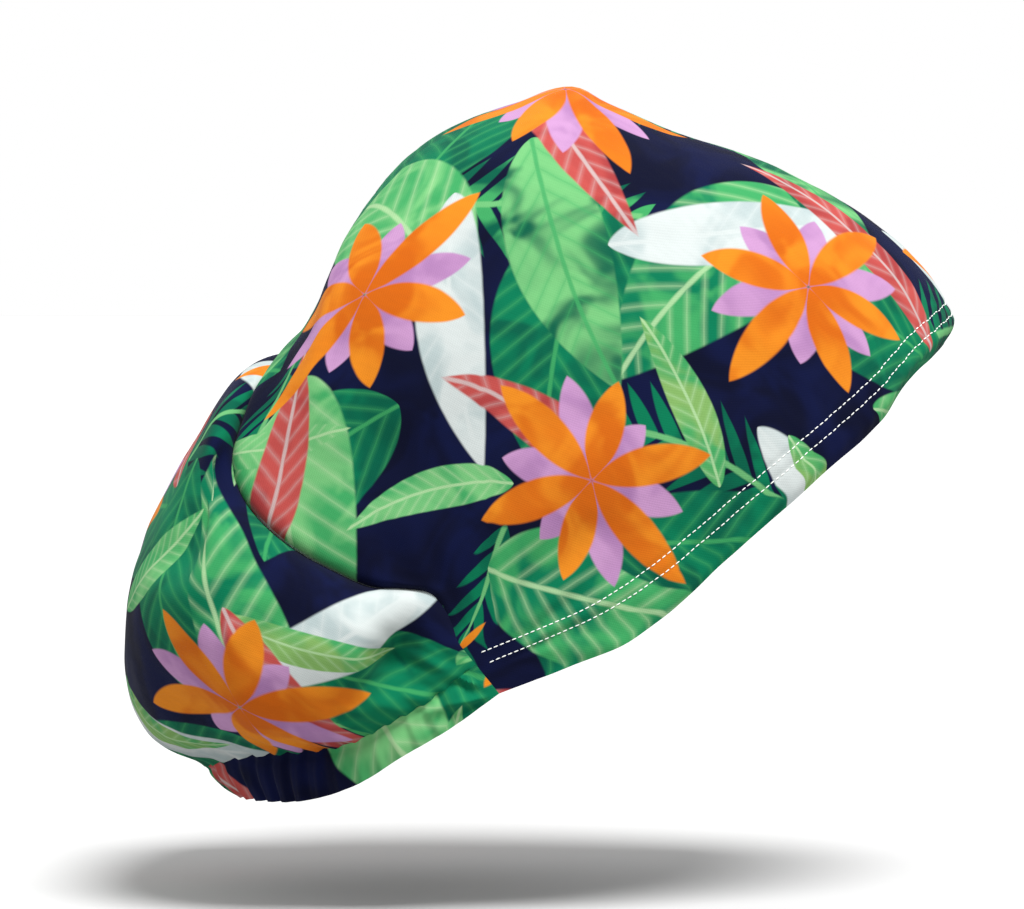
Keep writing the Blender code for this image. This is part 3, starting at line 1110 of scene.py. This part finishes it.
@dataclass
class Hood(SewnPiece):
    """The hood of the cap, with its turned hem and the places of its topstitching."""

    rows: int = 130
    hem_rows: int = 24
    hem_cloth: float = 0.0016
    hem_depth: float = 0.0155
    roll: float = 0.0026
    roll_spread: float = 0.0036
    stitch_rows: Pair = (0.0106, 0.0149)
    stitch_sink: float = 0.00028
    stitch_spread: float = 0.0009
    straighten: int = 260
    look: float = 0.001
    most_shift: float = 0.004
    hem_wave: float = 0.00022
    hem_wave_turns: Pair = (0.83, 0.29)
    ripples: tuple[Ripple, ...] = (
        Ripple(0.0011, 0.034, 3.1, (1.6, 1.0, 0.8)),
        Ripple(0.00035, 0.011, 8.7),
    )
    roll_ripple: Ripple = Ripple(0.3, 0.03, 4.4)
    creases: EarCreases = EarCreases(0.0011, (-0.118, -0.120), 0.034, 17.0)
    folds: tuple[Fold, ...] = (
        Fold(0, (-0.330, 0.250), (-0.180, 0.080), 0.019, 0.0030),
        Fold(0, (-0.020, 0.560), (0.060, 0.300), 0.016, -0.0017),
        Fold(0, (-0.120, -0.020), (0.100, 0.090), 0.010, 0.0013),
        Fold(0, (-0.300, 0.360), (-0.230, 0.180), 0.010, 0.0012, 0.4),
        Fold(0, (-0.240, 0.060), (-0.100, -0.090), 0.008, 0.0016, 0.5),
        Fold(0, (-0.060, -0.070), (0.060, -0.030), 0.006, 0.0008, 0.4),
    )
    reaches: dict[float, np.ndarray] = field(init=False)

    NAME: ClassVar[str] = "hood"

    def declare(self, piece: Piece, flat: Pair, area: float) -> None:
        """Hide the solid that the hood stands for."""
        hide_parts("front_panel")

    def row_reach(self, grid: np.ndarray, run: np.ndarray, row: float) -> np.ndarray:
        """Find how far a stitch row runs from the edge, straighter than the edge itself.

        Args:
            grid: points of the hood.
            run: distance of each point from the edge, along its column.
            row: mean distance of the row from the edge.

        Returns:
            The row's distance on each column.
        """
        line = np.array([read_at(row, *column) for column in zip(run, grid)])
        inward = np.array([read_at(row + self.look, *column) for column in zip(run, grid)]) - line
        inward /= np.linalg.norm(inward, axis=1, keepdims=True)
        straight = line.copy()
        for _ in range(self.straighten):
            straight[1:-1] = 0.5 * straight[1:-1] + 0.25 * (straight[2:] + straight[:-2])
        shift = ((straight - line) * inward).sum(axis=1)
        return row + np.clip(shift, -self.most_shift, self.most_shift)

    def spaced_skin(self) -> np.ndarray:
        """Return the plain hood with close rows along the hem, for its stitches."""
        grid = self.form.hood(600)
        run = run_down(grid)
        spaced = np.empty((self.form.columns + 1, self.rows + 1, 3))
        near = np.linspace(0.0, 1.15 * self.hem_depth, self.hem_rows + 1)
        for column, points in enumerate(grid):
            rest = np.linspace(near[-1], run[column, -1], self.rows + 2 - len(near))[1:]
            spaced[column] = read_at(np.concatenate((near, rest)), run[column], points)
        return spaced

    def shape(self) -> np.ndarray:
        """Return the face side of the hood with all its folds."""
        form = self.form
        spaced = self.spaced_skin()
        run = run_down(spaced)
        to_seam = run[:, -1:] - run
        calm = form.ends * smooth_step(0.0, self.SEAM_SPREAD, to_seam)
        lift = self.draw_in(sum(fold.lift(spaced, form) for fold in self.folds) * calm, to_seam)
        for ripple in self.ripples:
            lift += ripple.height * calm * ripple.read(spaced)
        lift += self.creases.height * calm * self.creases.read(spaced, form)
        near_hem = smooth_step(0.0, 0.004, run) * (1 - smooth_step(0.015, 0.030, run))
        first, second = (np.arange(form.columns + 1)[:, None] * turn for turn in self.hem_wave_turns)
        lift += self.hem_wave * form.ends * near_hem * (np.sin(first) * np.cos(second))
        self.reaches = {row: self.row_reach(spaced, run, row) for row in self.stitch_rows}
        for reach in self.reaches.values():
            lift -= self.stitch_sink * form.ends * bell((run - reach[:, None]) / self.stitch_spread)
        self.way = turn_to(outward(spaced), form.seam_way(), bell(to_seam / self.SEAM_SPREAD))
        back = np.gradient(spaced, axis=1)
        back /= np.linalg.norm(back, axis=-1, keepdims=True)
        near = to_seam / self.roll_spread
        uneven = 1 + self.roll_ripple.height * self.roll_ripple.read(spaced)
        roll = self.roll * form.ends * near * np.exp(1 - near) * uneven
        return spaced + self.way * (lift + 0.7 * roll)[..., None] + back * (0.9 * roll)[..., None]

    def wall(self) -> np.ndarray:
        """Return the thickness of the cloth, doubled in the hem."""
        hem = 1 - smooth_step(0.98 * self.hem_depth, 1.06 * self.hem_depth, run_down(self.skin))
        return self.cloth + (self.hem_cloth - self.cloth) * hem


@dataclass
class Topstitching:
    """Rows of short machine stitches along the hem of the hood."""

    hood: Hood
    pitch: float = 0.0021
    stitch: float = 0.0015
    radius: float = 0.00017
    sides: int = 6
    margin: float = 0.004
    look: float = 1e-4
    # Share of a stitch's length, share of its thickness
    profile: Rows = ((0.0, 0.35), (0.18, 0.85), (0.5, 1.0), (0.82, 0.85), (1.0, 0.35))

    def row_line(self, distance: float) -> tuple[np.ndarray, np.ndarray]:
        """Return the points and outward directions of a row at a distance from the hem."""
        skin, reach = self.hood.skin, self.hood.reaches[distance]
        run, way = run_down(skin), outward(skin)
        line = np.array([read_at(*column) for column in zip(reach, run, skin)])
        return line, np.array([read_at(*column) for column in zip(reach, run, way)])

    def build(self, name: str, distance: float, material: Material) -> Piece:
        """Sew one row.

        Args:
            name: name of the row.
            distance: how far it runs from the edge of the hem.
            material: finish of the thread.

        Returns:
            The row as one object.
        """
        line, out = self.row_line(distance)
        pace = np.concatenate(([0.0], np.cumsum(np.linalg.norm(np.diff(line, axis=0), axis=1))))
        count = int((pace[-1] - 2 * self.margin) / self.pitch)
        points, faces = [], []
        around = range(self.sides)
        for start in self.margin + np.arange(count) * self.pitch:
            first = len(points)
            for share, thick in self.profile:
                at = start + share * self.stitch
                centre, up = read_at(at, pace, line), read_at(at, pace, out)
                ahead = read_at(at + self.look, pace, line) - centre
                ahead /= np.linalg.norm(ahead)
                beside = np.cross(up, ahead)
                centre = centre + up * self.radius * (0.15 + 0.55 * math.sin(math.pi * share))
                for k in around:
                    turn = 2 * math.pi * k / self.sides
                    offset = beside * math.cos(turn) * 1.15 + up * math.sin(turn) * 0.8
                    points.append(tuple(centre + offset * self.radius * thick))
            for a in range(first, len(points) - self.sides, self.sides):
                b = a + self.sides
                turned = [(k + 1) % self.sides for k in around]
                faces.extend((a + k, a + n, b + n, b + k) for k, n in zip(around, turned))
            faces.append(tuple(first + k for k in reversed(around)))
            faces.append(tuple(len(points) - self.sides + k for k in around))
        piece = place_mesh(name, points, faces, (material,))
        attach(piece, "root")
        return piece


@dataclass
class Bag(SewnPiece):
    """The gathered bag behind the hood."""

    rows: int = 120
    ease_rounds: int = 8
    gather_height: float = 0.0008
    ripples: tuple[Ripple, ...] = (
        Ripple(0.0016, 0.030, 5.3, (1.0, 1.0, 1.3)),
        Ripple(0.0005, 0.010, 1.9),
    )
    creases: EarCreases = EarCreases(0.0012, (-0.125, -0.130), 0.026, 21.0)
    folds: tuple[Fold, ...] = (
        Fold(-1, (-0.415, 0.180), (-0.490, 0.010), 0.0076, 0.0066, 0.12),
        Fold(1, (-0.420, 0.140), (-0.480, -0.010), 0.0066, 0.0066, 0.30),
        Fold(0, (-0.192, -0.050), (-0.228, -0.150), 0.0085, 0.0110, 0.35),
        Fold(0, (-0.330, -0.010), (-0.400, -0.120), 0.0085, 0.0026, 0.10),
        Fold(-1, (-0.360, 0.050), (-0.440, -0.060), 0.0060, 0.0018, 0.30),
        Fold(0, (-0.250, -0.215), (-0.190, -0.205), 0.0035, 0.0018, 0.40),
        Fold(0, (-0.470, -0.160), (-0.400, -0.240), 0.0080, 0.0020, 0.30),
        Fold(1, (-0.300, -0.030), (-0.350, -0.170), 0.0070, 0.0022, 0.30),
    )

    NAME: ClassVar[str] = "bag"

    def declare(self, piece: Piece, flat: Pair, area: float) -> None:
        """Hide the solid that the bag stands for."""
        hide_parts("back_bag")

    def shape(self) -> np.ndarray:
        """Return the face side of the bag with all its folds."""
        form = self.form
        grid = form.bag(self.rows)
        run = run_down(grid)
        to_casing = run[:, -1:] - run
        near_seam = smooth_step(0.0, self.SEAM_SPREAD, run)
        calm = form.ends * near_seam * smooth_step(0.0, self.SEAM_SPREAD, to_casing)
        lift = self.draw_in(sum(fold.lift(grid, form) for fold in self.folds) * calm, run)
        for ripple in self.ripples:
            lift += ripple.height * calm * ripple.read(grid)
        lift += self.creases.height * calm * self.creases.read(grid, form)
        lift += EAR_PUCKER.height * form.tips * near_seam * EAR_PUCKER.read(grid, form)
        length = 0.010 + 0.010 * (0.5 + 0.5 * np.sin(23.0 * form.across + 0.5))[:, None]
        lift += self.gather_height * form.gather_wave() * np.exp(-((to_casing / length) ** 1.5))
        self.way = turn_to(outward(grid), form.seam_way(), bell(run / self.SEAM_SPREAD))
        self.way = turn_to(self.way, form.casing_way(), bell(to_casing / self.SEAM_SPREAD))
        return ease(grid + self.way * lift[..., None], self.ease_rounds)


@dataclass
class NapeCasing(SewnPiece):
    """The casing round the nape, drawn into gathers by the elastic inside it."""

    cloth: float = 0.0022
    rows: int = 22
    gather_height: float = 0.0007
    swell: float = 0.0010
    sewn_sink: float = 0.0005
    sewn_at: float = 0.10
    sewn_spread: float = 0.08
    ripple: Ripple = Ripple(0.0003, 0.009, 6.1)

    NAME: ClassVar[str] = "casing"

    def declare(self, piece: Piece, flat: Pair, area: float) -> None:
        """Hide the solid that the casing stands for."""
        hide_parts("nape_casing")

    def shape(self) -> np.ndarray:
        """Return the face side of the casing with its gathers."""
        form = self.form
        grid = form.casing(self.rows)
        down = np.linspace(0.0, 1.0, self.rows + 1)[None, :]
        swell = self.swell * np.sin(math.pi * down)
        sewn = self.sewn_sink * bell((down - self.sewn_at) / self.sewn_spread)
        uneven = 1 + 0.35 * np.sin(2.2 * down + 3.0 * form.across[:, None])
        lift = self.gather_height * form.gather_wave() * uneven + swell - sewn
        lift += self.ripple.height * form.ends * self.ripple.read(grid)
        lift += EAR_PUCKER.height * EAR_PUCKER.read(grid, form)
        share = np.broadcast_to(bell(down / 0.3), lift.shape)
        self.way = turn_to(outward(grid), form.casing_way(), share)
        return grid + self.way * (lift * form.tips)[..., None]


@dataclass
class Studio:
    """Pale floor, soft light and the camera at the photograph's angle."""

    distance: float = 1.6
    elevation: float = 2.0
    frame_width: float = 1024 / 3000
    sensor: float = 36.0
    centre: tuple[float, float, float] = (-0.024, 0.0, 0.03783)
    floor_drop: float = 0.033
    floor_half: float = 30.0
    floor_shade: float = 0.41
    sun_place: tuple[float, float, float] = (0.30, -0.70, 1.55)
    sun_power: float = 6.0
    sun_softness: float = 24.0

    def floor(self) -> None:
        """Lay the plain floor below the cap."""
        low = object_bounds()[0][2] - self.floor_drop
        half = self.floor_half
        mesh = bpy.data.meshes.new("floor")
        corners = [(-half, -half, low), (half, -half, low), (half, half, low), (-half, half, low)]
        mesh.from_pydata(corners, [], [(0, 1, 2, 3)])
        material = bpy.data.materials.new("floor_paint")
        material.use_nodes = True
        shader = material.node_tree.nodes["Principled BSDF"]
        shader.inputs["Base Color"].default_value = (self.floor_shade,) * 3 + (1.0,)
        shader.inputs["Roughness"].default_value = 0.9
        mesh.materials.append(material)
        piece = bpy.data.objects.new("floor", mesh)
        bpy.context.collection.objects.link(piece)
        piece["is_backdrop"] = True

    def sun(self) -> None:
        """Shine one soft light on the cap, from above and in front."""
        lamp = bpy.data.lights.new("key_light", "SUN")
        lamp.energy = self.sun_power
        lamp.angle = math.radians(self.sun_softness)
        holder = bpy.data.objects.new("key_light", lamp)
        holder.location = self.sun_place
        holder.rotation_euler = (-Vector(self.sun_place)).to_track_quat("-Z", "Y").to_euler()
        bpy.context.collection.objects.link(holder)

    def world(self) -> None:
        """Surround the cap with plain white light."""
        world = bpy.data.worlds.new("studio")
        world.use_nodes = True
        background = world.node_tree.nodes["Background"]
        background.inputs["Color"].default_value = (1.0, 1.0, 1.0, 1.0)
        background.inputs["Strength"].default_value = 1.0
        bpy.context.scene.world = world
        bpy.context.scene.view_settings.view_transform = "Standard"

    def camera(self) -> None:
        """Place the camera to the wearer's right, a little above the middle of the cap."""
        turn = math.radians(self.elevation)
        camera = bpy.data.cameras.new("camera")
        camera.sensor_width = self.sensor
        camera.lens = self.sensor * self.distance / self.frame_width
        holder = bpy.data.objects.new("camera", camera)
        back = Vector((0.0, -math.cos(turn), math.sin(turn)))
        holder.location = Vector(self.centre) + back * self.distance
        holder.rotation_euler = (-back).to_track_quat("-Z", "Y").to_euler()
        bpy.context.collection.objects.link(holder)
        bpy.context.scene.camera = holder

    def build(self) -> None:
        """Set the floor, light, world and camera."""
        self.floor()
        self.sun()
        self.world()
        self.camera()


def main() -> None:
    """Build the cap piece by piece and light it."""
    logging.basicConfig(level=logging.INFO, format="%(message)s")
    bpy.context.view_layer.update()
    Studio().build()
    groups = (BotanicalPrint().build(), CottonWeave().build())
    thread = SewingThread().build()
    form = CapForm()
    hood = Hood(form)
    hood.build(cut_cloth("hood_cotton", (0.31, 0.22), 24.0, groups))
    rows = Topstitching(hood)
    for name, distance in zip(("topstitch_lower", "topstitch_upper"), hood.stitch_rows):
        rows.build(name, distance, thread)
    Bag(form).build(cut_cloth("bag_cotton", (0.26, 0.12), 110.0, groups))
    NapeCasing(form).build(cut_cloth("casing_cotton", (0.14, 0.10), 8.0, groups))


if __name__ == "__main__":
    main()
